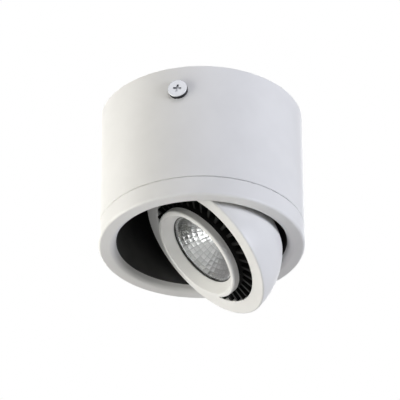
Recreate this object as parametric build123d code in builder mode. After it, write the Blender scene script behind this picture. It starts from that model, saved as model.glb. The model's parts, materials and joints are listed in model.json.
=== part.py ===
from build123d import *
import os
from math import asin, cos, degrees, radians, sin, sqrt

# Round surface spotlight: a white can that is screwed to the ceiling, with a tilting lamp
# head in its mouth. The origin is the middle of the ceiling face and +Z points up, so the
# whole lamp lies below z = 0. Lengths are millimetres and angles are degrees.
# Three bodies: the fixed can, the carrier that swivels in it, and the head that tilts.

# Pose at rest
beam_heading = 201.65  # plan direction that the head looks towards, from +X
tilt_rest = 44.3  # head tilt from straight down
tilt_limit = 75.0  # largest tilt

# Face of the head, outwards from its middle
lens_edge_radius = 19.2
slope_width = 3.75
crest_width = 2.2
fin_band_width = 6.35
face_ring_width = 7.6

# Bezel, outwards from the head
ball_gap = 2.3
bevel_width = 1.4
bezel_flat_width = 7.2

# Stack under the ceiling, downwards
bracket_thickness = 2.0
wiring_room = 6.7
driver_height = 18.0
divider_thickness = 2.0
thrust_washer_thickness = 0.9
stem_flange_thickness = 1.5
cup_roof = 2.0
roof_gap = 1.6
ball_drop = 1.3  # tilt centre below the bezel's face

# Clearances and fits
running_gap = 0.1
running_fit = 0.05
seat_gap = 0.05
hole_clearance = 0.2
glide_gap = 0.3
seam_gap = 0.3
ledge_gap = 0.8

# Can
tube_wall = 2.6
tube_chamfer = 0.3
ledge_depth = 5.0
bezel_height = 9.9
bezel_wall = 2.8
bezel_fillet = 1.2
mouth_fillet = 3.0
bevel_height = 3.0

# Ceiling bracket and what is on it
bracket_width = 16.0
bracket_hub_radius = 14.0
leg_tail = 5.4  # leg below the side screw's axis
ceiling_hole_pitch = 60.0
ceiling_slot_length = 12.0
ceiling_slot_width = 4.6
cable_bore_radius = 4.5
grommet_wall = 1.5
grommet_flange = 2.0
earth_screw_offset = 18.0
side_screw_drop = 13.6
side_screw_radius = 2.5
side_head_radius = 4.75
side_head_height = 2.2
side_head_fillet = 0.3
side_screw_tail = 2.0
side_cross_length = 4.0
side_cross_width = 1.1
side_cross_turn = -10.0

# Small pan head screws
screw_radius = 1.25
screw_head_radius = 2.2
screw_head_height = 1.6
screw_grip = 4.0  # depth in the piece that the screw holds in
plate_screw_radius = 1.0
plate_screw_head_radius = 1.85

# Swivel
stem_radius = 5.0
stem_bore = 3.2
stem_flange_radius = 9.0
stem_tail = 3.0  # thread above the nut
stem_nut_flats = 15.0
stem_nut_height = 4.5
bush_wall = 0.95
bush_flange_width = 2.6
bush_flange_thickness = 1.0
spring_washer_height = 1.0
spring_washer_thickness = 0.5
stop_circle = 30.0
stop_pin_radius = 1.5
stop_lug_width = 3.0
stop_lug_length = 6.0
stop_gap = 0.4

# Carrier
cup_wall = 1.2
cup_flange_thickness = 1.6
clip_thickness = 1.1
clip_width = 1.8
clip_groove = 0.5
glide_ring_height = 2.5
glide_shoulder = 1.0

# Driver and terminals
driver_width = 25.0
driver_wall = 1.6
driver_nut_gap = 3.3
driver_corner_gap = 1.0
driver_ear_length = 7.0
driver_ear_width = 8.0
lid_rim = 1.5
board_standoff = 3.0
board_thickness = 1.6
standoff_radius = 1.6
transformer_length = 16.0
transformer_width = 14.0
capacitor_radius = 4.0
component_gap = 0.8
terminal_width = 12.0
terminal_length = 30.0
terminal_height = 13.0
terminal_entry_radius = 1.6
terminal_screw_radius = 1.5
terminal_screw_sink = 1.0
lead_radius = 1.0
lead_spacing = 20.0
lead_height = 6.0

# Head
face_setback = 1.85  # face behind the tilt centre
face_ring_thickness = 2.4
face_edge_fillet = 0.8
face_inner_fillet = 0.3
spigot_length = 2.6
spigot_wall = 1.5
bowl_wall = 2.0
bowl_depth = 26.5
tab_thickness = 2.0
tab_width = 8.0
tab_skin = 0.5

# Heat sink
fin_count = 36
fin_thickness = 1.4
fin_angle = 3.0
fin_gap = 0.4
sink_depth = 18.2
sink_base = 3.2
collar_height = 2.15
post_radius = 3.0
post_length = 9.0
screw_edge_gap = 0.6
lead_hole_radius = 2.2
lead_hole_offset = 13.0
lead_sleeve_wall = 1.0
lead_sleeve_flange = 1.2

# Lens ring and optics
crest_height = 5.95
crest_fillet = 0.9
crest_inner_fillet = 0.4
lens_edge_height = 1.5
lip_width = 1.0
lip_thickness = 0.4
sleeve_wall = 1.1
sleeve_tail = 0.8
gasket_thickness = 0.3
gasket_inset = 0.3
glass_thickness = 1.2
reflector_wall = 0.9
reflector_rim = 0.8
reflector_inset = 1.1
reflector_back_gap = 0.3
emitter_radius = 5.5
emitter_height = 0.8
emitter_gap = 1.3
led_board_width = 20.0
led_board_thickness = 1.6
holder_thickness = 1.5
holder_gap = 0.3
holder_foot_radius = 2.2
holder_edge = 0.4  # ring beyond its feet

# Tilt rail on the head's back and the shoe that clamps it
rail_thickness = 1.5
rail_width = 10.0
rail_gap = 0.8
rail_end_margin = 1.5  # degrees past the shoe's last position
foot_length = 6.7
foot_width = 22.0
foot_screw_inset = 3.7
foot_screw_spacing = 18.0
shoe_length = 6.4
shoe_width = 10.0
shoe_clearance = 0.4
inner_shoe_thickness = 1.8
clamp_screw_radius = 2.0
clamp_head_radius = 3.5
clamp_head_height = 2.5
clamp_spring_height = 1.2
clamp_nut_flats = 7.0
clamp_nut_height = 2.8
clamp_tail = 0.4
shoe_plate_thickness = 1.5
shoe_plate_width = 16.0
shoe_plate_tail = 7.0
shoe_flange_end = 7.5
shoe_screw_offset = 11.2
shoe_screw_spacing = 11.0

# Radii that follow from the face outwards
lens_ring_radius = lens_edge_radius + slope_width + crest_width
face_ring_inner = lens_ring_radius + fin_band_width
ball_radius = face_ring_inner + face_ring_width
lip_radius = ball_radius + ball_gap
bezel_opening = lip_radius + bevel_width
housing_radius = bezel_opening + bezel_flat_width
tube_bore = housing_radius - tube_wall
cup_radius = lip_radius + cup_wall

# Heights that follow from the ceiling downwards
divider_top = -(bracket_thickness + wiring_room + driver_height)
divider_bottom = divider_top - divider_thickness
flange_top = divider_bottom - running_gap - thrust_washer_thickness
roof_top = flange_top - stem_flange_thickness
roof_bottom = roof_top - cup_roof
pivot_height = roof_bottom - roof_gap - ball_radius
bezel_face = pivot_height + ball_drop
bezel_top = bezel_face + bezel_height
tube_bottom = bezel_top + seam_gap
side_screw_height = -side_screw_drop

# Frames: the carrier looks along beam_heading, and the head and shoe lean back from it
beam = Vector(cos(radians(beam_heading)), sin(radians(beam_heading)), 0)
up = Vector(0, 0, 1)
carrier = Plane(origin=(0, 0, 0), x_dir=beam, z_dir=up)


def tilted_frame(angle):
    """Frame at the tilt centre, with Z leaning back by the angle from straight up."""
    lean = radians(angle)
    return Plane(
        origin=(0, 0, pivot_height),
        x_dir=beam * cos(lean) + up * sin(lean),
        z_dir=up * cos(lean) - beam * sin(lean),
    )


def profile_of(frame):
    """Plane through a frame's axis: its X is the radius and its Y is the frame's Z."""
    return Plane(origin=frame.origin, x_dir=frame.x_dir, z_dir=-frame.y_dir)


def seat_on(frame, x, y, z):
    """The frame moved to a point that is given in its own axes."""
    return Plane(origin=frame.from_local_coords((x, y, z)), x_dir=frame.x_dir, z_dir=frame.z_dir)


def ball_point(radius, height):
    """Profile point on a ball about the tilt centre."""
    return (sqrt(radius**2 - height**2), height)


def polar_point(circle, angle):
    """Point on a circle about a frame's Z axis."""
    return (circle * cos(radians(angle)), circle * sin(radians(angle)))


def screw_group(seats, head_radius, head_height, shank_radius, shank_length):
    """Pan head screws with a cross recess, one on each seat, as separate solids."""
    recess_width = head_radius / 4
    with BuildPart() as group:
        with BuildSketch(*seats):
            Circle(head_radius)
        extrude(amount=head_height)
        with BuildSketch(*[seat.offset(head_height) for seat in seats]):
            Rectangle(head_radius, recess_width)
            Rectangle(recess_width, head_radius)
        extrude(amount=-head_height / 2, mode=Mode.SUBTRACT)
        with BuildSketch(*seats):
            Circle(shank_radius)
        extrude(amount=-shank_length)
    return group


def keep(piece, name):
    """Label a finished piece and write it as its own file."""
    piece.part.label = name
    export_step(piece.part, f"parts/{name}.step")


head = tilted_frame(tilt_rest)
head_profile = profile_of(head)
head_axis = Axis(head.origin, head.z_dir)
shoe_lean = tilt_limit / 2
shoe = tilted_frame(shoe_lean)
shoe_profile = profile_of(shoe)
os.makedirs("parts", exist_ok=True)

# Fixed can: the white tube, with a ledge inside for the divider plate
ledge_radius = cup_radius + ledge_gap
ledge_width = tube_bore - ledge_radius
ledge_bottom = divider_bottom - ledge_depth
divider_screw_count = 3
divider_screw_circle = (ledge_radius + tube_bore) / 2

with BuildPart() as housing_tube:
    with BuildSketch(Plane.XZ):
        with BuildLine():
            Polyline(
                (tube_bore, 0),
                (housing_radius, 0),
                (housing_radius, tube_bottom),
                (tube_bore, tube_bottom),
                (tube_bore, ledge_bottom - ledge_width),
                (ledge_radius, ledge_bottom),
                (ledge_radius, divider_bottom),
                (tube_bore, divider_bottom),
                close=True,
            )
        make_face()
    revolve(axis=Axis.Z)
    rims = housing_tube.edges().filter_by(GeomType.CIRCLE).sort_by(SortBy.RADIUS)[-2:]
    chamfer(rims, tube_chamfer)
    with BuildSketch(Plane.XZ):
        with Locations((0, side_screw_height)):
            Circle(side_screw_radius + hole_clearance)
    extrude(amount=2 * housing_radius, both=True, mode=Mode.SUBTRACT)
    with Locations((0, 0, divider_bottom)):
        with PolarLocations(divider_screw_circle, divider_screw_count):
            Hole(plate_screw_radius, depth=screw_grip)
keep(housing_tube, "housing_tube")

# Ceiling bracket: a strap along Y with two legs that the side screws go into
leg_face = sqrt((tube_bore - glide_gap) ** 2 - (bracket_width / 2) ** 2)
leg_end = side_screw_height - leg_tail
grommet_hole = cable_bore_radius + grommet_wall

with BuildPart() as ceiling_bracket:
    with BuildSketch(Plane.YZ):
        with BuildLine():
            Polyline(
                (-leg_face, leg_end),
                (-leg_face, 0),
                (leg_face, 0),
                (leg_face, leg_end),
                (leg_face - bracket_thickness, leg_end),
                (leg_face - bracket_thickness, -bracket_thickness),
                (bracket_thickness - leg_face, -bracket_thickness),
                (bracket_thickness - leg_face, leg_end),
                close=True,
            )
        make_face()
    extrude(amount=bracket_width / 2, both=True)
    with BuildSketch(Plane.XY):
        Circle(bracket_hub_radius)
    extrude(amount=-bracket_thickness)
    with BuildSketch(Plane.XY):
        Circle(grommet_hole)
        with Locations((0, earth_screw_offset)):
            Circle(screw_radius)
        with Locations((0, ceiling_hole_pitch / 2), (0, -ceiling_hole_pitch / 2)):
            SlotOverall(ceiling_slot_length, ceiling_slot_width, rotation=90)
    extrude(amount=-bracket_thickness, mode=Mode.SUBTRACT)
    with BuildSketch(Plane.XZ):
        with Locations((0, side_screw_height)):
            Circle(side_screw_radius)
    extrude(amount=2 * housing_radius, both=True, mode=Mode.SUBTRACT)
keep(ceiling_bracket, "ceiling_bracket")

# Side screws: broad flat heads on the can, into the bracket's legs
side_seat = Plane(origin=(0, -housing_radius - seat_gap, side_screw_height), z_dir=(0, -1, 0))
side_shank = housing_radius + seat_gap - leg_face + bracket_thickness + side_screw_tail

with BuildPart() as side_screws:
    with BuildSketch(side_seat):
        Circle(side_head_radius)
    extrude(amount=side_head_height)
    fillet(side_screws.edges().group_by(Axis.Y)[0], side_head_fillet)
    with BuildSketch(side_seat.offset(side_head_height)):
        Rectangle(side_cross_length, side_cross_width, rotation=side_cross_turn)
        Rectangle(side_cross_width, side_cross_length, rotation=side_cross_turn)
    extrude(amount=-side_head_height / 2, mode=Mode.SUBTRACT)
    with BuildSketch(side_seat):
        Circle(side_screw_radius)
    extrude(amount=-side_shank)
    mirror(about=Plane.XZ)
keep(side_screws, "side_screws")

# Rubber grommet that the supply cable comes through
with BuildPart() as cable_grommet:
    with BuildSketch(Plane.XY):
        Circle(grommet_hole)
    extrude(amount=-bracket_thickness)
    with BuildSketch(Plane.XY.offset(-bracket_thickness)):
        Circle(grommet_hole + grommet_flange)
    extrude(amount=-grommet_wall)
    with BuildSketch(Plane.XY):
        Circle(cable_bore_radius)
    extrude(amount=-bracket_thickness - grommet_wall, mode=Mode.SUBTRACT)
keep(cable_grommet, "cable_grommet")

earth_seat = Plane(origin=(0, earth_screw_offset, -bracket_thickness), z_dir=(0, 0, -1))
earth_screw = screw_group(
    [earth_seat], screw_head_radius, screw_head_height, screw_radius, bracket_thickness
)
keep(earth_screw, "earth_screw")

# Divider plate: carries the driver above it and the swivel below it
bush_bore = stem_radius + running_fit
bush_radius = bush_bore + bush_wall
stop_point = carrier.from_local_coords((-stop_circle, 0, 0))
nut_radius = stem_nut_flats / sqrt(3)
driver_near = nut_radius + driver_nut_gap
driver_far = driver_near + driver_width
driver_middle = (driver_near + driver_far) / 2
driver_half = sqrt((tube_bore - driver_corner_gap) ** 2 - driver_far**2)
ear_middle = driver_half + driver_ear_length / 2
terminal_middle = -driver_near - terminal_width / 2

with BuildPart() as divider_plate:
    with BuildSketch(Plane.XY.offset(divider_bottom)):
        Circle(tube_bore - hole_clearance)
        Circle(bush_radius, mode=Mode.SUBTRACT)
        with PolarLocations(divider_screw_circle, divider_screw_count):
            Circle(plate_screw_radius + hole_clearance, mode=Mode.SUBTRACT)
        with Locations((stop_point.X, stop_point.Y)):
            Circle(stop_pin_radius, mode=Mode.SUBTRACT)
        with Locations((driver_middle, ear_middle), (driver_middle, -ear_middle), (terminal_middle, 0)):
            Circle(screw_radius, mode=Mode.SUBTRACT)
    extrude(amount=divider_thickness)
keep(divider_plate, "divider_plate")

plate_seat = Plane.XY.offset(divider_top)
divider_angles = [turn * 360 / divider_screw_count for turn in range(divider_screw_count)]
divider_screws = screw_group(
    [seat_on(plate_seat, *polar_point(divider_screw_circle, angle), 0) for angle in divider_angles],
    plate_screw_head_radius,
    screw_head_height,
    plate_screw_radius,
    divider_thickness + screw_grip - seat_gap,
)
keep(divider_screws, "divider_screws")

with BuildPart() as stem_bush:
    with BuildSketch(Plane.XY.offset(divider_bottom)):
        Circle(bush_radius)
    extrude(amount=divider_thickness)
    with BuildSketch(plate_seat):
        Circle(bush_radius + bush_flange_width)
    extrude(amount=bush_flange_thickness)
    with BuildSketch(Plane.XY.offset(divider_bottom)):
        Circle(bush_bore)
    extrude(amount=divider_thickness + bush_flange_thickness, mode=Mode.SUBTRACT)
keep(stem_bush, "stem_bush")

stop_room = divider_bottom - roof_top
with BuildPart() as stop_pin:
    with BuildSketch(plate_seat):
        with Locations((stop_point.X, stop_point.Y)):
            Circle(stop_pin_radius)
    extrude(amount=-divider_thickness - stop_room + stop_gap)
keep(stop_pin, "stop_pin")

# Driver: an open case with a lid, and the board with its parts inside
case_height = driver_height - driver_wall
case_plane = plate_seat.offset(driver_wall)
lead_plane = Plane(origin=(0, 0, divider_top + lead_height), x_dir=(0, 1, 0), z_dir=(1, 0, 0))
lead_places = [(-lead_spacing / 2, 0), (lead_spacing / 2, 0)]
standoff_x = driver_width / 2 - driver_wall - standoff_radius
standoff_y = driver_half - driver_wall - standoff_radius

with BuildPart() as driver_case:
    with BuildSketch(plate_seat):
        with Locations((driver_middle, 0)):
            Rectangle(driver_width, 2 * driver_half)
    extrude(amount=case_height)
    with BuildSketch(case_plane):
        with Locations((driver_middle, 0)):
            Rectangle(driver_width - 2 * driver_wall, 2 * (driver_half - driver_wall))
    extrude(amount=driver_height, mode=Mode.SUBTRACT)
    with BuildSketch(case_plane):
        with Locations((driver_middle, 0)):
            with GridLocations(2 * standoff_x, 2 * standoff_y, 2, 2):
                Circle(standoff_radius)
    extrude(amount=board_standoff)
    with BuildSketch(plate_seat):
        with Locations((driver_middle, ear_middle), (driver_middle, -ear_middle)):
            Rectangle(driver_ear_width, driver_ear_length)
            Circle(screw_radius + hole_clearance, mode=Mode.SUBTRACT)
    extrude(amount=driver_wall)
    with BuildSketch(lead_plane.offset(driver_near)):
        with Locations(*lead_places):
            Circle(lead_radius + hole_clearance)
    extrude(amount=driver_wall, mode=Mode.SUBTRACT)
keep(driver_case, "driver_case")

lid_plane = plate_seat.offset(case_height)
with BuildPart() as driver_lid:
    with BuildSketch(lid_plane):
        with Locations((driver_middle, 0)):
            Rectangle(driver_width, 2 * driver_half)
    extrude(amount=driver_wall)
    rim_width = driver_width - 2 * (driver_wall + hole_clearance)
    rim_length = 2 * (driver_half - driver_wall - hole_clearance)
    with BuildSketch(lid_plane):
        with Locations((driver_middle, 0)):
            Rectangle(rim_width, rim_length)
            Rectangle(rim_width - 2 * driver_wall, rim_length - 2 * driver_wall, mode=Mode.SUBTRACT)
    extrude(amount=-lid_rim)
keep(driver_lid, "driver_lid")

ear_seat = seat_on(Plane.XY, 0, 0, divider_top + driver_wall)
driver_screws = screw_group(
    [seat_on(ear_seat, driver_middle, side * ear_middle, 0) for side in (-1, 1)],
    screw_head_radius,
    screw_head_height,
    screw_radius,
    driver_wall + divider_thickness,
)
keep(driver_screws, "driver_screws")

board_plane = case_plane.offset(board_standoff)
parts_plane = board_plane.offset(board_thickness)
parts_height = case_height - driver_wall - board_standoff - board_thickness - component_gap
with BuildPart() as driver_board:
    with BuildSketch(board_plane):
        with Locations((driver_middle, 0)):
            Rectangle(
                driver_width - 2 * (driver_wall + hole_clearance),
                2 * (driver_half - driver_wall - hole_clearance),
            )
    extrude(amount=board_thickness)
keep(driver_board, "driver_board")

with BuildPart() as driver_transformer:
    with BuildSketch(parts_plane):
        with Locations((driver_middle, 0)):
            Rectangle(transformer_width, transformer_length)
    extrude(amount=parts_height)
keep(driver_transformer, "driver_transformer")

capacitor_offset = transformer_length / 2 + capacitor_radius + component_gap
with BuildPart() as driver_capacitors:
    with BuildSketch(parts_plane):
        with Locations((driver_middle, capacitor_offset), (driver_middle, -capacitor_offset)):
            Circle(capacitor_radius)
    extrude(amount=parts_height)
keep(driver_capacitors, "driver_capacitors")

# Terminal block for the supply, its screws, and the leads to the driver
terminal_screw_top = divider_top + terminal_height - terminal_screw_sink
terminal_screw_bottom = divider_top + lead_height + lead_radius
terminal_places = [(terminal_middle, -lead_spacing / 2), (terminal_middle, lead_spacing / 2)]

with BuildPart() as terminal_block:
    with BuildSketch(plate_seat):
        with Locations((terminal_middle, 0)):
            Rectangle(terminal_width, terminal_length)
            Circle(screw_radius + hole_clearance, mode=Mode.SUBTRACT)
    extrude(amount=terminal_height)
    with BuildSketch(lead_plane.offset(-driver_near)):
        with Locations(*lead_places):
            Circle(terminal_entry_radius)
    extrude(amount=-terminal_width, mode=Mode.SUBTRACT)
    with BuildSketch(plate_seat.offset(lead_height)):
        with Locations(*terminal_places):
            Circle(terminal_screw_radius + running_fit)
    extrude(amount=terminal_height, mode=Mode.SUBTRACT)
keep(terminal_block, "terminal_block")

with BuildPart() as terminal_screws:
    with BuildSketch(Plane.XY.offset(terminal_screw_bottom)):
        with Locations(*terminal_places):
            Circle(terminal_screw_radius)
    extrude(amount=terminal_screw_top - terminal_screw_bottom)
    slot_depth = (terminal_screw_top - terminal_screw_bottom) / 4
    with BuildSketch(Plane.XY.offset(terminal_screw_top)):
        with Locations(*terminal_places):
            Rectangle(2 * terminal_screw_radius, terminal_screw_radius / 2)
    extrude(amount=-slot_depth, mode=Mode.SUBTRACT)
keep(terminal_screws, "terminal_screws")

terminal_fixing = screw_group(
    [seat_on(plate_seat, terminal_middle, 0, terminal_height)],
    screw_head_radius,
    screw_head_height,
    screw_radius,
    terminal_height + divider_thickness,
)
keep(terminal_fixing, "terminal_fixing")

with BuildPart() as mains_leads:
    with BuildSketch(lead_plane.offset(terminal_middle - terminal_screw_radius)):
        with Locations(*lead_places):
            Circle(lead_radius)
    extrude(amount=driver_near + driver_wall - terminal_middle + terminal_screw_radius)
keep(mains_leads, "mains_leads")

# Swivel: the hollow stem on the cup's roof, held over the divider plate by its nut
spring_bottom = divider_top + bush_flange_thickness + running_gap
nut_bottom = spring_bottom + spring_washer_height
stem_top = nut_bottom + stem_nut_height + stem_tail

with BuildPart() as swivel_stem:
    with BuildSketch(Plane.XY.offset(roof_bottom)):
        Circle(stem_radius)
    extrude(amount=stem_top - roof_bottom)
    with BuildSketch(Plane.XY.offset(roof_top)):
        Circle(stem_flange_radius)
    extrude(amount=stem_flange_thickness)
    with BuildSketch(Plane.XY.offset(roof_bottom)):
        Circle(stem_bore)
    extrude(amount=stem_top - roof_bottom, mode=Mode.SUBTRACT)
keep(swivel_stem, "swivel_stem")

with BuildPart() as thrust_washer:
    with BuildSketch(Plane.XY.offset(flange_top)):
        Circle(stem_flange_radius)
        Circle(stem_radius + running_fit, mode=Mode.SUBTRACT)
    extrude(amount=thrust_washer_thickness)
keep(thrust_washer, "thrust_washer")

with BuildPart() as spring_washer:
    with BuildSketch(Plane.XZ):
        with BuildLine():
            spring_edge = stem_radius + bush_wall + bush_flange_width
            spring_inner = stem_radius + hole_clearance
            spring_top = nut_bottom - spring_washer_thickness
            Polyline(
                (spring_inner, spring_top),
                (spring_edge, spring_bottom),
                (spring_edge, spring_bottom + spring_washer_thickness),
                (spring_inner, nut_bottom),
                close=True,
            )
        make_face()
    revolve(axis=Axis.Z)
keep(spring_washer, "spring_washer")

with BuildPart() as stem_nut:
    with BuildSketch(carrier.offset(nut_bottom)):
        RegularPolygon(stem_nut_flats / 2, 6, major_radius=False)
        Circle(stem_radius, mode=Mode.SUBTRACT)
    extrude(amount=stem_nut_height)
keep(stem_nut, "stem_nut")

# Carrier: the white bezel ring and the black cup behind it
shelf = bezel_face + bevel_height
bezel_bore = housing_radius - bezel_wall
flange_edge = bezel_bore - hole_clearance
cup_flange_top = shelf + cup_flange_thickness
clip_bottom = cup_flange_top + seat_gap
glide_bottom = tube_bottom + glide_ring_height
shoulder_bottom = glide_bottom - glide_shoulder

with BuildPart() as bezel_ring:
    with BuildSketch(Plane.XZ):
        with BuildLine():
            Polyline(
                (housing_radius, bezel_top),
                (housing_radius, bezel_face),
                (bezel_opening, bezel_face),
                (lip_radius, shelf),
                (bezel_bore, shelf),
                (bezel_bore, bezel_top),
                close=True,
            )
        make_face()
    revolve(axis=Axis.Z)
    fillet(bezel_ring.edges().group_by(Axis.Z)[0].sort_by(SortBy.RADIUS)[-1], bezel_fillet)
    fillet(bezel_ring.edges().group_by(Axis.Z)[0].sort_by(SortBy.RADIUS)[0], mouth_fillet)
    chamfer(bezel_ring.edges().group_by(Axis.Z)[-1].sort_by(SortBy.RADIUS)[-1], tube_chamfer)
    with BuildSketch(Plane.XY.offset(clip_bottom - seat_gap)):
        Circle(bezel_bore + clip_groove + seat_gap)
        Circle(lip_radius, mode=Mode.SUBTRACT)
    extrude(amount=clip_thickness + 2 * seat_gap, mode=Mode.SUBTRACT)
keep(bezel_ring, "bezel_ring")

with BuildPart() as inner_cup:
    with BuildSketch(Plane.XZ):
        with BuildLine():
            Polyline(
                (lip_radius, shelf),
                (flange_edge, shelf),
                (flange_edge, cup_flange_top),
                (cup_radius, cup_flange_top),
                (cup_radius, shoulder_bottom),
                (cup_radius + glide_shoulder, glide_bottom),
                (cup_radius, glide_bottom),
                (cup_radius, roof_top),
                (stem_radius, roof_top),
                (stem_radius, roof_bottom),
                (lip_radius, roof_bottom),
                close=True,
            )
        make_face()
    revolve(axis=Axis.Z)
    with BuildSketch(carrier.offset(roof_top)):
        with Locations((stop_circle, 0)):
            Rectangle(stop_lug_length, stop_lug_width)
    extrude(amount=stop_room - stop_gap)
    with BuildSketch(carrier.offset(roof_top)):
        with Locations((-shoe_screw_offset, 0)):
            with GridLocations(0, shoe_screw_spacing, 1, 2):
                Circle(screw_radius + hole_clearance)
    extrude(amount=-cup_roof, mode=Mode.SUBTRACT)
keep(inner_cup, "inner_cup")

with BuildPart() as cup_clip:
    with BuildSketch(Plane.XY.offset(clip_bottom)):
        Circle(bezel_bore + clip_groove)
        Circle(bezel_bore - clip_width, mode=Mode.SUBTRACT)
    extrude(amount=clip_thickness)
keep(cup_clip, "cup_clip")

with BuildPart() as glide_ring:
    with BuildSketch(Plane.XY.offset(glide_bottom)):
        Circle(tube_bore - glide_gap)
        Circle(cup_radius, mode=Mode.SUBTRACT)
    extrude(amount=glide_ring_height)
keep(glide_ring, "glide_ring")

# Tilt rail: an arc about the tilt axis across the open back of the head
ball_bore = ball_radius - bowl_wall
rail_outer = ball_bore - rail_gap
rail_inner = rail_outer - rail_thickness
shoe_half_angle = degrees(asin(shoe_length / 2 / rail_inner))
rail_half_angle = shoe_lean + shoe_half_angle + rail_end_margin
slot_half_width = clamp_screw_radius + hole_clearance
foot_top = sink_depth + rail_thickness
rail_side = rail_outer * sin(radians(rail_half_angle))
rail_drop = (rail_inner + rail_outer) / 2 * cos(radians(rail_half_angle))
foot_screw_x = rail_side - foot_screw_inset


def rail_band(inner_radius, outer_radius, half_angle):
    """Flat band of an arc about the tilt centre, centred on the head's axis."""
    turn = radians(half_angle)
    inner_end = (inner_radius * sin(turn), inner_radius * cos(turn))
    outer_end = (outer_radius * sin(turn), outer_radius * cos(turn))
    with BuildSketch(head_profile) as band:
        with BuildLine():
            ThreePointArc((-inner_end[0], inner_end[1]), (0, inner_radius), inner_end)
            Line(inner_end, outer_end)
            ThreePointArc(outer_end, (0, outer_radius), (-outer_end[0], outer_end[1]))
            Line((-outer_end[0], outer_end[1]), (-inner_end[0], inner_end[1]))
        make_face()
    return band.sketch


rail_face = rail_band(rail_inner, rail_outer, rail_half_angle)
slot_face = rail_band(rail_inner - rail_thickness, rail_outer + rail_thickness, shoe_lean)
slot_ends = [tilted_frame(tilt_rest + side * shoe_lean) for side in (-1, 1)]

with BuildPart() as arc_rail:
    extrude(rail_face, amount=rail_width / 2, both=True)
    with BuildSketch(head_profile):
        for side in (-1, 1):
            with Locations((side * (rail_side - rail_thickness / 2), (sink_depth + rail_drop) / 2)):
                Rectangle(rail_thickness, rail_drop - sink_depth)
    extrude(amount=rail_width / 2, both=True)
    with BuildSketch(head.offset(sink_depth)):
        for side in (-1, 1):
            with Locations((side * (rail_side - foot_length / 2), 0)):
                Rectangle(foot_length, foot_width)
            with Locations((side * foot_screw_x, 0)):
                with GridLocations(0, foot_screw_spacing, 1, 2):
                    Circle(screw_radius + hole_clearance, mode=Mode.SUBTRACT)
    extrude(amount=rail_thickness)
    extrude(slot_face, amount=slot_half_width, both=True, mode=Mode.SUBTRACT)
    with BuildSketch(*[frame.offset(rail_inner - rail_thickness) for frame in slot_ends]):
        Circle(slot_half_width)
    extrude(amount=3 * rail_thickness, mode=Mode.SUBTRACT)
keep(arc_rail, "arc_rail")

rail_screw_places = [
    (side * foot_screw_x, across * foot_screw_spacing / 2) for side in (-1, 1) for across in (-1, 1)
]
rail_screws = screw_group(
    [seat_on(head, x, y, foot_top) for x, y in rail_screw_places],
    screw_head_radius,
    screw_head_height,
    screw_radius,
    rail_thickness + screw_grip,
)
keep(rail_screws, "rail_screws")

# Shoe: two pads that grip the rail, on a bracket under the cup's roof
outer_pad_face = rail_outer + running_gap
inner_pad_face = rail_inner - running_gap
plate_inner = ball_radius + shoe_clearance
plate_outer = plate_inner + shoe_plate_thickness
inner_pad_back = inner_pad_face - inner_shoe_thickness
nut_face = inner_pad_back - clamp_spring_height
nut_back = nut_face - clamp_nut_height
roof_reach = roof_bottom - pivot_height
flange_reach = roof_reach - shoe_plate_thickness


def plate_point(distance, height):
    """Point in the carrier's profile where the plate's face, at a distance, is at a height."""
    lean = radians(shoe_lean)
    along = (height - distance * cos(lean)) / sin(lean)
    return (along * cos(lean) - distance * sin(lean), height)


def plate_tail(distance):
    """Lower end of the plate's face at a distance from the tilt centre."""
    lean = radians(shoe_lean)
    return plate_point(distance, distance * cos(lean) - shoe_plate_tail * sin(lean))


with BuildPart() as shoe_bracket:
    with BuildSketch(profile_of(tilted_frame(0))):
        with BuildLine():
            Polyline(
                plate_tail(plate_inner),
                plate_point(plate_inner, flange_reach),
                (-shoe_flange_end, flange_reach),
                (-shoe_flange_end, roof_reach),
                plate_point(plate_outer, roof_reach),
                plate_tail(plate_outer),
                close=True,
            )
        make_face()
    extrude(amount=shoe_plate_width / 2, both=True)
    with BuildSketch(shoe):
        Circle(clamp_screw_radius)
    extrude(amount=2 * ball_radius, mode=Mode.SUBTRACT)
    with BuildSketch(carrier.offset(roof_bottom)):
        with Locations((-shoe_screw_offset, 0)):
            with GridLocations(0, shoe_screw_spacing, 1, 2):
                Circle(screw_radius)
    extrude(amount=-shoe_plate_thickness, mode=Mode.SUBTRACT)
keep(shoe_bracket, "shoe_bracket")

shoe_screws = screw_group(
    [seat_on(carrier, -shoe_screw_offset, side * shoe_screw_spacing / 2, roof_top) for side in (-1, 1)],
    screw_head_radius,
    screw_head_height,
    screw_radius,
    cup_roof + shoe_plate_thickness,
)
keep(shoe_screws, "shoe_screws")

with BuildPart() as outer_shoe:
    with BuildSketch(shoe_profile):
        with BuildLine():
            pad_edge = sqrt(outer_pad_face**2 - (shoe_length / 2) ** 2)
            Polyline(
                (-shoe_length / 2, pad_edge),
                (-shoe_length / 2, plate_inner),
                (shoe_length / 2, plate_inner),
                (shoe_length / 2, pad_edge),
            )
            ThreePointArc((shoe_length / 2, pad_edge), (0, outer_pad_face), (-shoe_length / 2, pad_edge))
        make_face()
    extrude(amount=shoe_width / 2, both=True)
    with BuildSketch(shoe):
        Circle(clamp_screw_radius)
    extrude(amount=2 * ball_radius, mode=Mode.SUBTRACT)
keep(outer_shoe, "outer_shoe")

with BuildPart() as inner_shoe:
    with BuildSketch(shoe_profile):
        with BuildLine():
            pad_edge = sqrt(inner_pad_face**2 - (shoe_length / 2) ** 2)
            Polyline(
                (shoe_length / 2, pad_edge),
                (shoe_length / 2, inner_pad_back),
                (-shoe_length / 2, inner_pad_back),
                (-shoe_length / 2, pad_edge),
            )
            ThreePointArc((-shoe_length / 2, pad_edge), (0, inner_pad_face), (shoe_length / 2, pad_edge))
        make_face()
    extrude(amount=shoe_width / 2, both=True)
    with BuildSketch(shoe):
        Circle(clamp_screw_radius)
    extrude(amount=2 * ball_radius, mode=Mode.SUBTRACT)
keep(inner_shoe, "inner_shoe")

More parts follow.
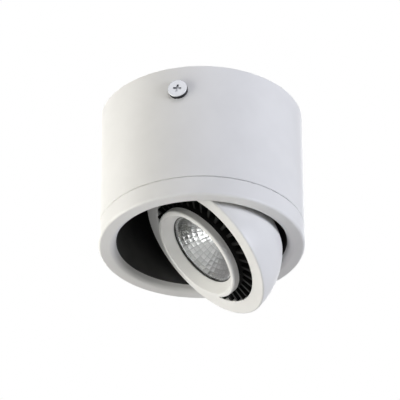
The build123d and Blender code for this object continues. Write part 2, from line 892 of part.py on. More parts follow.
clamp_screw = screw_group(
    [shoe.offset(plate_outer)],
    clamp_head_radius,
    clamp_head_height,
    clamp_screw_radius,
    plate_outer - nut_back + clamp_tail,
)
keep(clamp_screw, "clamp_screw")

with BuildPart() as clamp_spring:
    with BuildSketch(shoe.offset(nut_face)):
        Circle(shoe_length / 2)
        Circle(clamp_screw_radius, mode=Mode.SUBTRACT)
    extrude(amount=clamp_spring_height)
keep(clamp_spring, "clamp_spring")

with BuildPart() as clamp_nut:
    with BuildSketch(shoe.offset(nut_back)):
        RegularPolygon(clamp_nut_flats / 2, 6, major_radius=False, rotation=30)
        Circle(clamp_screw_radius, mode=Mode.SUBTRACT)
    extrude(amount=clamp_nut_height)
keep(clamp_nut, "clamp_nut")

# Head shell: the white front ring and the ball-shaped bowl behind it
bowl_front = face_setback + face_ring_thickness
spigot_end = bowl_front + spigot_length
spigot_radius = sqrt(ball_bore**2 - spigot_end**2) - seat_gap

with BuildPart() as face_ring:
    with BuildSketch(head_profile):
        with BuildLine():
            front_edge = ball_point(ball_radius, face_setback)
            back_edge = ball_point(ball_radius, bowl_front)
            ThreePointArc(front_edge, ball_point(ball_radius, (face_setback + bowl_front) / 2), back_edge)
            Polyline(
                back_edge,
                (spigot_radius, bowl_front),
                (spigot_radius, spigot_end),
                (spigot_radius - spigot_wall, spigot_end),
                (spigot_radius - spigot_wall, bowl_front),
                (face_ring_inner, bowl_front),
                (face_ring_inner, face_setback),
                front_edge,
            )
        make_face()
    revolve(axis=head_axis)
    front_edges = face_ring.edges().filter_by(GeomType.CIRCLE).group_by(head_axis)[0]
    fillet(front_edges.sort_by(SortBy.RADIUS)[-1], face_edge_fillet)
    front_edges = face_ring.edges().filter_by(GeomType.CIRCLE).group_by(head_axis)[0]
    fillet(front_edges.sort_by(SortBy.RADIUS)[0], face_inner_fillet)
keep(face_ring, "face_ring")

tab_back = sink_depth + tab_thickness
tab_outer = sqrt(ball_radius**2 - tab_back**2) - tab_skin
head_room = sqrt(ball_bore**2 - (tab_back + screw_head_height) ** 2)
post_circle = head_room - screw_edge_gap - screw_head_radius
tab_inner = post_circle - post_radius
tab_angles = (60, 120, 240, 300)

with BuildPart() as head_bowl:
    with BuildSketch(head_profile):
        with BuildLine():
            mid_height = (bowl_front + bowl_depth) / 2
            outer_front = ball_point(ball_radius, bowl_front)
            outer_back = ball_point(ball_radius, bowl_depth)
            inner_front = ball_point(ball_bore, bowl_front)
            inner_back = ball_point(ball_bore, bowl_depth)
            ThreePointArc(outer_front, ball_point(ball_radius, mid_height), outer_back)
            Line(outer_back, inner_back)
            ThreePointArc(inner_back, ball_point(ball_bore, mid_height), inner_front)
            Line(inner_front, outer_front)
        make_face()
    revolve(axis=head_axis)
    with BuildSketch(head.offset(sink_depth)):
        for angle in tab_angles:
            with PolarLocations((tab_inner + tab_outer) / 2, 1, start_angle=angle):
                Rectangle(tab_outer - tab_inner, tab_width)
            with PolarLocations(post_circle, 1, start_angle=angle):
                Circle(screw_radius + hole_clearance, mode=Mode.SUBTRACT)
    extrude(amount=tab_thickness)
keep(head_bowl, "head_bowl")

# Places along the head's axis, from the lens back to the light source
pocket_floor = sink_depth - sink_base
led_front = pocket_floor - led_board_thickness
holder_front = led_front - holder_thickness
lens_edge_front = face_setback - lens_edge_height
gasket_front = lens_edge_front + lip_thickness
glass_front = gasket_front + gasket_thickness
reflector_front = glass_front + glass_thickness
rim_back = reflector_front + reflector_rim
reflector_back = led_front - reflector_back_gap
reflector_mouth = lens_edge_radius - reflector_inset
reflector_throat = emitter_radius + emitter_gap


def reflector_radius(height):
    """Radius of the parabola through the reflector's mouth and throat."""
    share = (reflector_back - height) / (reflector_back - reflector_front)
    return sqrt(reflector_throat**2 + share * (reflector_mouth**2 - reflector_throat**2))


holder_screw_front = holder_front - screw_head_height / 2
holder_inner_radius = reflector_radius(holder_front) + reflector_wall + holder_gap
holder_screw_clear = reflector_radius(holder_screw_front) + reflector_wall + holder_gap
holder_screw_offset = holder_screw_clear + plate_screw_head_radius
holder_outer_radius = holder_screw_offset + holder_foot_radius + holder_edge

# Heat sink: a black core with radial fins that show between the lens ring and the face ring
glass_radius = lens_edge_radius + lip_width
sleeve_bore = glass_radius + seat_gap
sleeve_radius = sleeve_bore + sleeve_wall
pocket_radius = sleeve_radius + seat_gap
collar_front = face_setback - collar_height
fin_step = spigot_end + fin_gap
fin_ball = ball_bore - fin_gap

with BuildPart() as fin:
    with BuildSketch(Plane.XZ):
        with BuildLine():
            fin_root = (pocket_radius + lens_ring_radius) / 2
            fin_mid = ball_point(fin_ball, (fin_step + sink_depth) / 2)
            Polyline(
                ball_point(fin_ball, sink_depth),
                (fin_root, sink_depth),
                (fin_root, face_setback),
                (face_ring_inner - hole_clearance, face_setback),
                (face_ring_inner - hole_clearance, fin_step),
                ball_point(fin_ball, fin_step),
            )
            ThreePointArc(ball_point(fin_ball, fin_step), fin_mid, ball_point(fin_ball, sink_depth))
        make_face()
    extrude(amount=fin_thickness / 2, both=True)

with BuildPart(head) as heat_sink:
    with BuildSketch(head.offset(collar_front)):
        Circle(lens_ring_radius)
    extrude(amount=sink_depth - collar_front)
    with PolarLocations(0, fin_count, start_angle=fin_angle):
        add(fin.part)
    with BuildSketch(head.offset(sink_depth)):
        for angle in tab_angles:
            with PolarLocations(post_circle, 1, start_angle=angle):
                Circle(post_radius)
            with PolarLocations(post_circle / 2, 1, start_angle=angle):
                Rectangle(post_circle, 2 * post_radius)
    extrude(amount=-post_length)
    with BuildSketch(head.offset(collar_front)):
        Circle(pocket_radius)
    extrude(amount=pocket_floor - collar_front, mode=Mode.SUBTRACT)
    with BuildSketch(head.offset(sink_depth)):
        with Locations((0, lead_hole_offset)):
            Circle(lead_hole_radius)
    extrude(amount=-sink_base, mode=Mode.SUBTRACT)
    with BuildSketch(head.offset(sink_depth)):
        for angle in tab_angles:
            with PolarLocations(post_circle, 1, start_angle=angle):
                Circle(screw_radius)
        with Locations(*rail_screw_places):
            Circle(screw_radius)
    extrude(amount=-screw_grip, mode=Mode.SUBTRACT)
    with BuildSketch(head.offset(pocket_floor)):
        with Locations((holder_screw_offset, 0), (-holder_screw_offset, 0)):
            Circle(plate_screw_radius)
    extrude(amount=sink_base / 2, mode=Mode.SUBTRACT)
keep(heat_sink, "heat_sink")

sink_screws = screw_group(
    [seat_on(head, *polar_point(post_circle, angle), tab_back) for angle in tab_angles],
    screw_head_radius,
    screw_head_height,
    screw_radius,
    tab_thickness + screw_grip,
)
keep(sink_screws, "sink_screws")

with BuildPart() as lead_sleeve:
    with BuildSketch(seat_on(head, 0, lead_hole_offset, pocket_floor)):
        Circle(lead_hole_radius)
    extrude(amount=sink_base)
    with BuildSketch(seat_on(head, 0, lead_hole_offset, sink_depth)):
        Circle(lead_hole_radius + lead_sleeve_flange)
    extrude(amount=lead_sleeve_flange)
    with BuildSketch(seat_on(head, 0, lead_hole_offset, pocket_floor)):
        Circle(lead_hole_radius - lead_sleeve_wall)
    extrude(amount=sink_base + lead_sleeve_flange, mode=Mode.SUBTRACT)
keep(lead_sleeve, "lead_sleeve")

# Light source on the floor of the heat sink's pocket
with BuildPart() as led_board:
    with BuildSketch(head.offset(led_front)):
        Rectangle(led_board_width, led_board_width)
    extrude(amount=led_board_thickness)
keep(led_board, "led_board")

with BuildPart() as led_emitter:
    with BuildSketch(head.offset(led_front)):
        Circle(emitter_radius)
    extrude(amount=-emitter_height)
keep(led_emitter, "led_emitter")

with BuildPart() as led_holder:
    with BuildSketch(head.offset(led_front)):
        Circle(holder_outer_radius)
        Circle(holder_inner_radius, mode=Mode.SUBTRACT)
    extrude(amount=-holder_thickness)
    with BuildSketch(head.offset(led_front)):
        with Locations((holder_screw_offset, 0), (-holder_screw_offset, 0)):
            Circle(holder_foot_radius)
        Rectangle(led_board_width + 2 * hole_clearance, led_board_width, mode=Mode.SUBTRACT)
    extrude(amount=led_board_thickness)
    with BuildSketch(head.offset(pocket_floor)):
        with Locations((holder_screw_offset, 0), (-holder_screw_offset, 0)):
            Circle(plate_screw_radius)
    extrude(amount=-led_board_thickness - holder_thickness, mode=Mode.SUBTRACT)
keep(led_holder, "led_holder")

holder_seats = [
    Plane(origin=head.from_local_coords((x, 0, holder_front)), x_dir=head.x_dir, z_dir=-head.z_dir)
    for x in (holder_screw_offset, -holder_screw_offset)
]
holder_screws = screw_group(
    holder_seats,
    plate_screw_head_radius,
    screw_head_height / 2,
    plate_screw_radius,
    holder_thickness + led_board_thickness + sink_base / 2,
)
keep(holder_screws, "holder_screws")

# Optics: reflector, glass and seal, held by the white lens ring that screws into the core
with BuildPart() as reflector:
    with BuildSketch(head_profile):
        with BuildLine():
            inner_mid = (reflector_front + reflector_back) / 2
            outer_mid = (rim_back + reflector_back) / 2
            throat_edge = (reflector_throat + reflector_wall, reflector_back)
            rim_root = (reflector_radius(rim_back) + reflector_wall, rim_back)
            ThreePointArc(
                (reflector_throat, reflector_back),
                (reflector_radius(inner_mid), inner_mid),
                (reflector_mouth, reflector_front),
            )
            Polyline(
                (reflector_mouth, reflector_front),
                (glass_radius, reflector_front),
                (glass_radius, rim_back),
                rim_root,
            )
            ThreePointArc(rim_root, (reflector_radius(outer_mid) + reflector_wall, outer_mid), throat_edge)
            Line(throat_edge, (reflector_throat, reflector_back))
        make_face()
    revolve(axis=head_axis)
keep(reflector, "reflector")

with BuildPart() as lens_glass:
    with BuildSketch(head.offset(glass_front)):
        Circle(glass_radius)
    extrude(amount=glass_thickness)
keep(lens_glass, "lens_glass")

with BuildPart() as lens_gasket:
    with BuildSketch(head.offset(gasket_front)):
        Circle(glass_radius)
        Circle(lens_edge_radius - gasket_inset, mode=Mode.SUBTRACT)
    extrude(amount=gasket_thickness)
keep(lens_gasket, "lens_gasket")

crest_front = face_setback - crest_height
sleeve_back = rim_back + sleeve_tail
with BuildPart() as lens_ring:
    with BuildSketch(head_profile):
        with BuildLine():
            Polyline(
                (lens_ring_radius, collar_front),
                (lens_ring_radius, crest_front),
                (lens_ring_radius - crest_width, crest_front),
                (lens_edge_radius, lens_edge_front),
                (lens_edge_radius, gasket_front),
                (sleeve_bore, gasket_front),
                (sleeve_bore, sleeve_back),
                (sleeve_radius, sleeve_back),
                (sleeve_radius, collar_front),
                close=True,
            )
        make_face()
    revolve(axis=head_axis)
    crest_edges = lens_ring.edges().filter_by(GeomType.CIRCLE).group_by(head_axis)[0]
    fillet(crest_edges.sort_by(SortBy.RADIUS)[-1], crest_fillet)
    crest_edges = lens_ring.edges().filter_by(GeomType.CIRCLE).group_by(head_axis)[0]
    fillet(crest_edges.sort_by(SortBy.RADIUS)[0], crest_inner_fillet)
keep(lens_ring, "lens_ring")
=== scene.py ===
import json
from math import cos, pi, radians, sin, tau

import bpy
from mathutils import Matrix, Vector


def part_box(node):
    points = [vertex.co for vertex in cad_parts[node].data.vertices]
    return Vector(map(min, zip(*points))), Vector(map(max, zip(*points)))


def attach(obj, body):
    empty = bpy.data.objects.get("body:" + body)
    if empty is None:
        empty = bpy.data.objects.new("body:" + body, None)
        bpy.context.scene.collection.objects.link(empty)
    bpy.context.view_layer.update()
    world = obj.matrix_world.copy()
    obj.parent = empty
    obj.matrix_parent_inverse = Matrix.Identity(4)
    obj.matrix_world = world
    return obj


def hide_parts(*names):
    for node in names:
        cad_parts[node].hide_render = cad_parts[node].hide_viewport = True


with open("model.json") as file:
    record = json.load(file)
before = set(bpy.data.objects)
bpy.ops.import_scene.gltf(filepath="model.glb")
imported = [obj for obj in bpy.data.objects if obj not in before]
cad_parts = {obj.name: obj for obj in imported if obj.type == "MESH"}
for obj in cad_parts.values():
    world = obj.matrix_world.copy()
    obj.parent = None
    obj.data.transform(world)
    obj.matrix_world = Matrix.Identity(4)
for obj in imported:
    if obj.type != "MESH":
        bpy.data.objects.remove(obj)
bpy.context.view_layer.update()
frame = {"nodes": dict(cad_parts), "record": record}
nodes = frame["nodes"]
scene = bpy.context.scene
scene.view_settings.view_transform = "Standard"

# The head's place, as its solids have it in the photographed pose
mm = 0.001
tilt_centre = Vector((0, 0, -73.9 * mm))
beam_heading = radians(201.65)
head_tilt = radians(44.3)
beam = Vector((cos(beam_heading), sin(beam_heading), 0))
up = Vector((0, 0, 1))
head_x = beam * cos(head_tilt) + up * sin(head_tilt)
head_z = up * cos(head_tilt) - beam * sin(head_tilt)
head_y = head_z.cross(head_x)
head_place = Matrix((head_x, head_y, head_z)).transposed().to_4x4()
head_place.translation = tilt_centre

# The side screws' heads, read from the frame
screws_low, screws_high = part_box("side_screws")
screw_face = screws_high.y
screw_height = (screws_low.z + screws_high.z) / 2
screw_radius = (screws_high.z - screws_low.z) / 2

# The reflector, as its solid has it, along the head's axis from the tilt centre
reflector_front = 2.25 * mm
reflector_back = 13.1 * mm
reflector_wall = 0.5 * mm
mouth_radius = 18.1 * mm
throat_radius = 6.8 * mm
rim_radius = 20.1 * mm
facet_columns = 36
facet_rows = 6
facet_steps = 4
facet_pillow = 0.14 * mm

white = (1, 1, 1, 1)


class Link:
    """A socket in a node tree that can be used in Python expressions, or the bare tree."""

    def __init__(self, tree, socket=None):
        self.tree = tree
        self.socket = socket

    def node(self, kind, settings=None, inputs=None, output=0):
        """Add a node: its settings are set first, then its sockets' values or links."""
        made = self.tree.nodes.new(kind)
        for name, value in (settings or {}).items():
            setattr(made, name, value)
        for name, value in (inputs or {}).items():
            if isinstance(value, Link):
                self.tree.links.new(value.socket, made.inputs[name])
            else:
                made.inputs[name].default_value = value
        return Link(self.tree, made.outputs[output])

    def into(self, socket):
        self.tree.links.new(self.socket, socket)

    def math(self, operation, *values):
        return self.node("ShaderNodeMath", {"operation": operation}, dict(enumerate((self, *values))))

    def flipped(self, operation, value):
        return self.node("ShaderNodeMath", {"operation": operation}, {0: value, 1: self})

    def __add__(self, other):
        return self.math("ADD", other)

    def __sub__(self, other):
        return self.math("SUBTRACT", other)

    def __mul__(self, other):
        return self.math("MULTIPLY", other)

    def __truediv__(self, other):
        return self.math("DIVIDE", other)

    def __radd__(self, other):
        return self.flipped("ADD", other)

    def __rsub__(self, other):
        return self.flipped("SUBTRACT", other)

    def __rmul__(self, other):
        return self.flipped("MULTIPLY", other)

    def __rtruediv__(self, other):
        return self.flipped("DIVIDE", other)


# Finishes


class Finish:
    """A material whose colour, roughness and relief vary over Object coordinates."""

    def __init__(self, slot, metallic=0.0, specular=0.5):
        self.slot = slot
        self.material = bpy.data.materials.new(slot)
        self.material.use_nodes = True
        tree = self.material.node_tree
        self.shader = tree.nodes["Principled BSDF"]
        self.shader.inputs["Metallic"].default_value = metallic
        self.shader.inputs["Specular IOR Level"].default_value = specular
        self.place = Link(tree, tree.nodes.new("ShaderNodeTexCoord").outputs["Object"])

    def axis(self, index):
        """One coordinate of the place, in metres."""
        return self.place.node("ShaderNodeSeparateXYZ", inputs={0: self.place}, output=index)

    def depth(self, origin, direction):
        """Distance from a point along a direction."""
        offset = self.place.node(
            "ShaderNodeVectorMath", {"operation": "SUBTRACT"}, {0: self.place, 1: tuple(origin)}
        )
        return self.place.node(
            "ShaderNodeVectorMath", {"operation": "DOT_PRODUCT"}, {0: offset, 1: tuple(direction)}, output=1
        )

    def noise(self, size, detail=2.0, stretch=None):
        """Cloudy values about 0.5, with lumps of a size in metres, drawn out where a stretch is given."""
        vector = self.place
        if stretch:
            vector = self.place.node("ShaderNodeMapping", inputs={"Vector": self.place, "Scale": stretch})
        return self.place.node(
            "ShaderNodeTexNoise", inputs={"Vector": vector, "Scale": 1 / size, "Detail": detail}
        )

    def specks(self, size):
        """Distance to the nearest of scattered points that are a size apart."""
        return self.place.node("ShaderNodeTexVoronoi", inputs={"Vector": self.place, "Scale": 1 / size})

    def mask(self, link, low, high):
        """0 below low, 1 above high and a smooth step between."""
        return self.place.node(
            "ShaderNodeMapRange",
            {"interpolation_type": "SMOOTHSTEP"},
            {"Value": link, "From Min": low, "From Max": high},
        )

    def between(self, first, second, share):
        """A colour between two others, each of them a link or three numbers."""
        first, second = (tone if isinstance(tone, Link) else (*tone, 1) for tone in (first, second))
        inputs = {0: share, 6: first, 7: second}
        return self.place.node("ShaderNodeMix", {"data_type": "RGBA"}, inputs, output=2)

    def colour(self, first, second, share):
        self.between(first, second, share).into(self.shader.inputs["Base Color"])

    def roughness(self, limits, share):
        """From the first limit, where the share is 0, to the second."""
        first, second = limits
        (share * (second - first) + first).into(self.shader.inputs["Roughness"])

    def relief(self, height, depth, strength):
        """Small relief: a height of 1 stands out by a depth in metres."""
        bump = self.place.node(
            "ShaderNodeBump", inputs={"Strength": strength, "Distance": depth, "Height": height}
        )
        bump.into(self.shader.inputs["Normal"])


def powder_coat(slot, pale, deep):
    """Satin powder coat: faint clouds of tone and a fine orange peel."""
    coat = Finish(slot, specular=0.4)
    clouds = coat.noise(18 * mm, detail=3.0)
    peel = coat.noise(0.9 * mm)
    coat.colour(deep, pale, coat.mask(clouds, 0.3, 0.7))
    coat.roughness((0.36, 0.46), coat.noise(4 * mm))
    coat.relief(peel, depth=0.02 * mm, strength=0.5)
    return coat


def matte_black(slot, pale, deep, dullness, specular):
    """Matte black with a fine grain and dusty lighter clouds."""
    black = Finish(slot, specular=specular)
    clouds = black.noise(9 * mm, detail=4.0)
    grain = black.noise(0.35 * mm, detail=3.0)
    black.colour(deep, pale, black.mask(clouds, 0.3, 0.75))
    black.roughness(dullness, black.noise(1.5 * mm))
    black.relief(grain, depth=0.03 * mm, strength=0.6)
    return black


def plated_metal(slot, pale, deep, dullness, stretch):
    """Plated or bare metal: blotches of tone, and hairlines drawn out along one axis."""
    metal = Finish(slot, metallic=1.0)
    blotches = metal.noise(5 * mm, detail=4.0)
    hairlines = metal.noise(0.5 * mm, detail=3.0, stretch=stretch)
    metal.colour(deep, pale, metal.mask(blotches * 0.7 + hairlines * 0.3, 0.3, 0.7))
    metal.roughness(dullness, hairlines)
    metal.relief(hairlines, depth=0.015 * mm, strength=0.5)
    return metal


def plated_screw(slot):
    """Bright plating on the side screws' faces, painted shade on the side wall round each head's rim, and
    dull plating in the cross recess.
    """
    screw = Finish(slot, metallic=1.0)
    along, level, upward = (screw.axis(index) for index in range(3))
    face = screw.mask(level.math("ABSOLUTE"), screw_face - 0.35 * mm, screw_face - 0.1 * mm)
    rise = upward - screw_height
    reach = (along * along + rise * rise).math("SQRT")
    # Painted shade: below the face, the side wall near the head's rim is coloured near black, while the cross
    # recess keeps dull plating
    painted_shade_edge = screw.mask(reach, screw_radius - 1.0 * mm, screw_radius - 0.4 * mm)
    turned = screw.noise(0.3 * mm, detail=3.0, stretch=(1, 0.2, 1))
    dull_and_painted_shade = screw.between((0.42, 0.43, 0.45), (0.05, 0.05, 0.055), painted_shade_edge)
    bright = screw.between((0.4, 0.41, 0.43), (0.55, 0.56, 0.58), turned)
    screw.colour(dull_and_painted_shade, bright, face)
    screw.roughness((0.38, 0.55), turned)
    screw.relief(turned, depth=0.02 * mm, strength=0.5)
    return screw


def moulded_plastic(slot, pale, deep, dullness, grain_depth):
    """Moulded plastic or rubber: slight clouds of tone and a spark-eroded grain."""
    plastic = Finish(slot)
    clouds = plastic.noise(7 * mm, detail=3.0)
    grain = plastic.noise(0.4 * mm)
    plastic.colour(deep, pale, plastic.mask(clouds, 0.3, 0.7))
    plastic.roughness(dullness, grain)
    plastic.relief(grain, grain_depth, strength=0.6)
    return plastic


def circuit_board(slot):
    """Green solder resist over copper tracks."""
    board = Finish(slot)
    tracks = board.place.node(
        "ShaderNodeTexBrick", inputs={"Vector": board.place, "Scale": 140.0, "Mortar Size": 0.03}, output=1
    )
    board.colour((0.015, 0.13, 0.05), (0.05, 0.26, 0.1), tracks)
    board.roughness((0.25, 0.4), board.noise(2 * mm))
    board.relief(tracks, depth=0.05 * mm, strength=0.5)
    return board


def winding_tape(slot):
    """Glossy yellow tape in overlapping bands."""
    tape = Finish(slot)
    bands = tape.place.node(
        "ShaderNodeTexWave",
        {"bands_direction": "Z"},
        {"Vector": tape.place, "Scale": 90.0, "Distortion": 1.5},
    )
    tape.colour((0.62, 0.42, 0.04), (0.82, 0.62, 0.12), bands)
    tape.roughness((0.2, 0.35), tape.noise(2 * mm))
    tape.relief(bands, depth=0.06 * mm, strength=0.5)
    return tape


def phosphor_gel(slot):
    """Soft yellow silicone with grains of phosphor."""
    gel = Finish(slot)
    grains = gel.specks(0.5 * mm)
    gel.colour((0.72, 0.5, 0.08), (0.9, 0.72, 0.22), gel.mask(grains, 0.1, 0.7))
    gel.roughness((0.25, 0.4), grains)
    gel.relief(grains, depth=0.03 * mm, strength=0.4)
    return gel


def reflector_bright(slot):
    """Vapour-plated plastic: facets of slightly different tone, painted shade along the creases between them
    and a pale satin rim.
    """
    bright = Finish(slot, metallic=1.0)
    right, forward, deep = (bright.depth(tilt_centre, axis) for axis in (head_x, head_y, head_z))
    column = forward.math("ARCTAN2", right) * (facet_columns / tau)
    row = (reflector_back - deep) * (facet_rows / (reflector_back - reflector_front))
    seed = 0.5
    cell = bright.place.node(
        "ShaderNodeCombineXYZ", inputs={0: column.math("FLOOR"), 1: row.math("FLOOR"), 2: seed}
    )
    tone = bright.place.node("ShaderNodeTexWhiteNoise", inputs={"Vector": cell})
    off_middle = [(count.math("FRACT") - 0.5).math("ABSOLUTE") for count in (column, row)]
    # Painted shade: dark lines along the creases where one facet meets the next
    painted_crease_shade = bright.mask(off_middle[0].math("MAXIMUM", off_middle[1]), 0.4, 0.5)
    haze = bright.noise(2.5 * mm, detail=4.0)
    plating = bright.between((0.34, 0.34, 0.333), (0.5, 0.5, 0.49), tone * 0.8 + haze * 0.2)
    plating_with_painted_shade = bright.between(plating, (0.16, 0.16, 0.155), painted_crease_shade * 0.6)
    cup = bright.mask(deep, reflector_front + 0.05 * mm, reflector_front + 0.2 * mm)
    bright.colour((0.9, 0.9, 0.89), plating_with_painted_shade, cup)
    bright.roughness((0.5, 0.28), cup * 0.9 + haze * 0.1)
    bright.relief(bright.noise(0.7 * mm), depth=0.02 * mm, strength=0.4)
    return bright


def clear_glass(slot):
    """Clear flat glass with a coat against reflections and a breath of dust."""
    glass = Finish(slot)
    glass.shader.inputs["Transmission Weight"].default_value = 1.0
    glass.shader.inputs["IOR"].default_value = 1.45
    glass.shader.inputs["Specular Tint"].default_value = (0.25, 0.25, 0.25, 1)
    dust = glass.noise(3 * mm, detail=4.0)
    glass.colour((0.93, 0.95, 0.95), (1.0, 1.0, 1.0), dust)
    glass.roughness((0.0, 0.04), glass.mask(dust, 0.55, 0.8))
    return glass


# After its slot, a finish may take its pale and deep tones, its least and most roughness, and its grain
grain_x = (0.05, 1, 1)
grain_z = (1, 1, 0.05)
all_finishes = (
    powder_coat("white_paint", (0.83, 0.83, 0.825), (0.8, 0.8, 0.795)),
    matte_black("cup_black", (0.078, 0.078, 0.077), (0.062, 0.062, 0.062), (0.6, 0.75), specular=0.3),
    matte_black("fin_black", (0.02, 0.02, 0.019), (0.01, 0.01, 0.01), (0.5, 0.65), specular=0.1),
    plated_metal("plated_sheet", (0.5, 0.51, 0.53), (0.34, 0.35, 0.37), (0.45, 0.62), grain_x),
    plated_screw("bright_steel"),
    plated_metal("screw_steel", (0.62, 0.62, 0.63), (0.42, 0.42, 0.44), (0.25, 0.45), grain_z),
    plated_metal("spring_steel", (0.42, 0.43, 0.46), (0.28, 0.29, 0.32), (0.25, 0.4), grain_x),
    plated_metal("brass", (0.8, 0.6, 0.28), (0.6, 0.42, 0.17), (0.22, 0.4), grain_z),
    plated_metal("bare_aluminium", (0.85, 0.85, 0.85), (0.7, 0.7, 0.7), (0.3, 0.5), grain_x),
    moulded_plastic("black_rubber", (0.03, 0.03, 0.03), (0.015, 0.015, 0.015), (0.6, 0.8), 0.06 * mm),
    moulded_plastic("nylon", (0.82, 0.8, 0.74), (0.74, 0.71, 0.63), (0.4, 0.55), 0.03 * mm),
    moulded_plastic("white_plastic", (0.82, 0.82, 0.8), (0.76, 0.76, 0.73), (0.42, 0.56), 0.04 * mm),
    moulded_plastic("black_sleeve", (0.05, 0.05, 0.06), (0.02, 0.02, 0.03), (0.2, 0.35), 0.02 * mm),
    moulded_plastic("lead_sheath", (0.34, 0.14, 0.07), (0.24, 0.09, 0.04), (0.3, 0.42), 0.02 * mm),
    circuit_board("green_board"),
    winding_tape("yellow_tape"),
    phosphor_gel("phosphor"),
    reflector_bright("bright_reflector"),
    clear_glass("clear_glass"),
)
finishes = {finish.slot: finish.material for finish in all_finishes}

for subpart in frame["record"]["subparts"]:
    solid = nodes[subpart["node"]]
    solid.data.materials.clear()
    solid.data.materials.append(finishes[subpart["material_slot"]])


# Faceted reflector


def reflector_tree():
    """Rows of pillowed facets on a parabola of revolution about Z, with a flat rim round the mouth."""
    tree = bpy.data.node_groups.new("reflector_facets", "GeometryNodeTree")
    for name in ("Columns", "Rows", "Steps"):
        tree.interface.new_socket(name, in_out="INPUT", socket_type="NodeSocketInt")
    for name in ("Mouth Radius", "Throat Radius", "Front", "Back", "Rim Radius", "Pillow"):
        tree.interface.new_socket(name, in_out="INPUT", socket_type="NodeSocketFloat")
    tree.interface.new_socket("Finish", in_out="INPUT", socket_type="NodeSocketMaterial")
    tree.interface.new_socket("Geometry", in_out="OUTPUT", socket_type="NodeSocketGeometry")
    entry = tree.nodes.new("NodeGroupInput")
    given = {socket.name: Link(tree, socket) for socket in entry.outputs if socket.name}
    start = Link(tree)
    columns, rows, steps = given["Columns"], given["Rows"], given["Steps"]

    def unit_grid(across, along):
        return start.node(
            "GeometryNodeMeshGrid",
            inputs={"Size X": 1.0, "Size Y": 1.0, "Vertices X": across, "Vertices Y": along},
        )

    position = start.node("GeometryNodeInputPosition")
    across, along = (
        start.node("ShaderNodeSeparateXYZ", inputs={0: position}, output=index) + 0.5 for index in range(2)
    )
    row = along * rows
    in_column = (across * columns).math("FRACT")
    in_row = row.math("FRACT")
    from_middle = (in_column - 0.5) * tau / columns
    chord = (pi / columns).math("COSINE") / from_middle.math("COSINE")
    angle = across * tau

    def parabola(share):
        least, most = (given[name].math("POWER", 2.0) for name in ("Throat Radius", "Mouth Radius"))
        return (least + (most - least) * share).math("SQRT")

    low = row.math("FLOOR") / rows
    inner = parabola(low)
    outer = parabola(low + 1.0 / rows)
    bulge = in_column * (1 - in_column) * in_row * (1 - in_row) * 16 * given["Pillow"]
    radius = (inner + (outer - inner) * in_row) * chord - bulge
    height = given["Back"] + (given["Front"] - given["Back"]) * along
    rim_inner = given["Mouth Radius"] * chord
    rim_reach = rim_inner + (given["Rim Radius"] - rim_inner) * along

    def turned(grid, distance, level):
        point = start.node(
            "ShaderNodeCombineXYZ",
            inputs={0: angle.math("COSINE") * distance, 1: angle.math("SINE") * distance, 2: level},
        )
        return start.node("GeometryNodeSetPosition", inputs={"Geometry": grid, "Position": point})

    round_count = columns * steps + 1
    rim_count = start.node("FunctionNodeInputInt", {"integer": 2})
    facets = turned(unit_grid(round_count, rows * steps + 1), radius, height)
    rim = turned(unit_grid(round_count, rim_count), rim_reach, given["Front"])
    joined = start.node("GeometryNodeJoinGeometry", inputs={0: facets})
    rim.into(joined.socket.node.inputs[0])
    merged = start.node("GeometryNodeMergeByDistance", inputs={"Geometry": joined, "Distance": 0.01 * mm})
    whole = start.node("GeometryNodeRealizeInstances", inputs={"Geometry": merged})
    painted = start.node("GeometryNodeSetMaterial", inputs={"Geometry": whole, "Material": given["Finish"]})
    painted.into(tree.nodes.new("NodeGroupOutput").inputs[0])
    return tree


def grown(name, tree, values, wall):
    """A plain mesh object with a wall, from a node tree with its named inputs set."""
    seed = bpy.data.objects.new(name + "_seed", bpy.data.meshes.new(name + "_seed"))
    scene.collection.objects.link(seed)
    modifier = seed.modifiers.new("shape", "NODES")
    modifier.node_group = tree
    identifiers = {item.name: item.identifier for item in tree.interface.items_tree if item.in_out == "INPUT"}
    for key, value in values.items():
        modifier[identifiers[key]] = value
    skin = seed.modifiers.new("wall", "SOLIDIFY")
    skin.thickness = wall
    skin.offset = -1
    evaluated = seed.evaluated_get(bpy.context.evaluated_depsgraph_get())
    mesh = bpy.data.meshes.new_from_object(evaluated)
    mesh.name = name
    bpy.data.objects.remove(seed)
    piece = bpy.data.objects.new(name, mesh)
    scene.collection.objects.link(piece)
    return piece


reflector = grown(
    "faceted_reflector",
    reflector_tree(),
    {
        "Columns": facet_columns,
        "Rows": facet_rows,
        "Steps": facet_steps,
        "Mouth Radius": mouth_radius,
        "Throat Radius": throat_radius,
        "Front": reflector_front,
        "Back": reflector_back,
        "Rim Radius": rim_radius,
        "Pillow": facet_pillow,
        "Finish": finishes["bright_reflector"],
    },
    reflector_wall,
)
reflector.data.transform(head_place)
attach(reflector, "head")
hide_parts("reflector")


# Camera

target = Vector((-0.6714, -0.1501, -45.449)) * mm
camera_azimuth = radians(12.6)
camera_elevation = radians(-31.425)
camera_roll = radians(-0.243)
camera_distance = 1502.1 * mm
camera_lens = 276.71
camera_sensor = 36.0
back = Vector((
    sin(camera_azimuth) * cos(camera_elevation),
    -cos(camera_azimuth) * cos(camera_elevation),
    sin(camera_elevation),
))
camera = bpy.data.objects.new("camera", bpy.data.cameras.new("camera"))
camera.data.sensor_width = camera_sensor
camera.data.lens = camera_lens
camera.location = target + back * camera_distance
camera.rotation_mode = "QUATERNION"
roll = Matrix.Rotation(camera_roll, 3, "Z").to_quaternion()
camera.rotation_quaternion = (-back).to_track_quat("-Z", "Y") @ roll
scene.collection.objects.link(camera)
scene.camera = camera


# Lamps, cards and floor


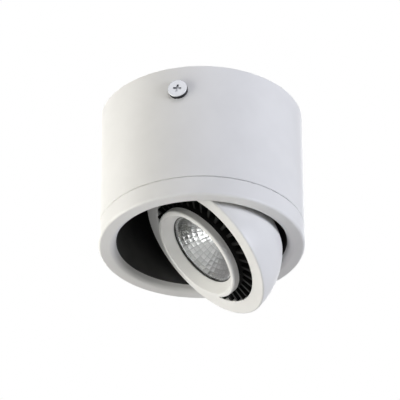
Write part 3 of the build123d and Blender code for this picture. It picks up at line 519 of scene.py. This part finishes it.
def softbox(name, place, size, power, colour, in_lens=True):
    """A square area lamp that faces the middle of the light, and may be kept from showing in the lens."""
    lamp = bpy.data.lights.new(name, "AREA")
    lamp.size = size
    lamp.energy = power
    lamp.color = colour
    holder = bpy.data.objects.new(name, lamp)
    holder.location = place
    holder.rotation_mode = "QUATERNION"
    holder.rotation_quaternion = (target - Vector(place)).to_track_quat("-Z", "Y")
    holder.visible_camera = False
    holder.visible_transmission = in_lens
    scene.collection.objects.link(holder)


def level_sheet(name, low, high, level):
    """A level sheet from one corner to the other, and the node tree of its own material."""
    mesh = bpy.data.meshes.new(name)
    corners = (low, (high[0], low[1]), high, (low[0], high[1]))
    mesh.from_pydata([(x, y, level) for x, y in corners], [], [(0, 1, 2, 3)])
    paint = bpy.data.materials.new(name + "_paint")
    paint.use_nodes = True
    mesh.materials.append(paint)
    sheet = bpy.data.objects.new(name, mesh)
    scene.collection.objects.link(sheet)
    return sheet, paint.node_tree


def lens_card(name, low, high, level, glow):
    """A level card for the reflector to mirror, which shows through the lens alone."""
    card, tree = level_sheet(name, low, high, level)
    shine = Link(tree).node("ShaderNodeEmission", inputs={"Color": white, "Strength": glow})
    shine.into(tree.nodes["Material Output"].inputs["Surface"])
    card.visible_camera = False
    card.visible_diffuse = False
    card.visible_glossy = False
    card.visible_shadow = False


def white_where_seen(tree, output, shed, shown):
    """Show one shader to the rays that see the background itself, and another for the light that it sheds."""
    path = tree.nodes.new("ShaderNodeLightPath")
    seen = Link(tree, path.outputs["Is Camera Ray"])
    for ray in ("Is Glossy Ray", "Is Transmission Ray"):
        seen = seen.math("MAXIMUM", Link(tree, path.outputs[ray]))
    mixed = seen.node("ShaderNodeMixShader", inputs={0: seen, 1: shed, 2: shown})
    mixed.into(tree.nodes[output].inputs["Surface"])


softbox("left_panel", (-0.4, -0.15, -0.12), 0.4, 1.75, (1.0, 0.965, 0.9), in_lens=False)
softbox("left_low_softbox", (-1.2, -0.5, -1.0), 1.6, 8.0, (0.98, 1.0, 0.91), in_lens=False)
softbox("right_softbox", (1.2, -0.4, -0.25), 0.4, 12.4, (0.89, 0.91, 1.0))
softbox("top_panel", (0.06, -0.3, 0.22), 0.25, 0.38, (0.97, 0.96, 1.0))
softbox("below_panel", (-0.06, 0.3, -1.3), 0.25, 2.0, (1.0, 1.0, 1.0), in_lens=False)
softbox("back_low_softbox", (-0.37, 0.94, -0.72), 1.5, 1.5, (1.0, 0.85, 0.88))
softbox("back_softbox", (-0.3, 1.2, 1.0), 1.2, 10.0, (1.0, 1.0, 1.0))

dark_level = -0.574
bright_level = -0.569
lens_card("dark_card", (-0.45, -0.05), (0.3, 0.8), dark_level, glow=0.0)
lens_card("bright_card", (-0.28, -0.05), (-0.07, 0.2), bright_level, glow=9.0)

ambient_strength = 0.05
world = bpy.data.worlds.new("studio")
scene.world = world
world.use_nodes = True
sky = Link(world.node_tree)
ambient = sky.node("ShaderNodeBackground", inputs={"Color": white, "Strength": ambient_strength})
white_sky = sky.node("ShaderNodeBackground", inputs={"Color": white, "Strength": 1.0})
white_where_seen(world.node_tree, "World Output", ambient, white_sky)

floor_half = 4.0
floor_level = -1.7
floor_grey = (0.4, 0.4, 0.4, 1)
floor, floor_tree = level_sheet("floor", (-floor_half, -floor_half), (floor_half, floor_half), floor_level)
ground = Link(floor_tree)
matte = ground.node("ShaderNodeBsdfDiffuse", inputs={"Color": floor_grey})
white_ground = ground.node("ShaderNodeEmission", inputs={"Color": white, "Strength": 1.0})
white_where_seen(floor_tree, "Material Output", matte, white_ground)
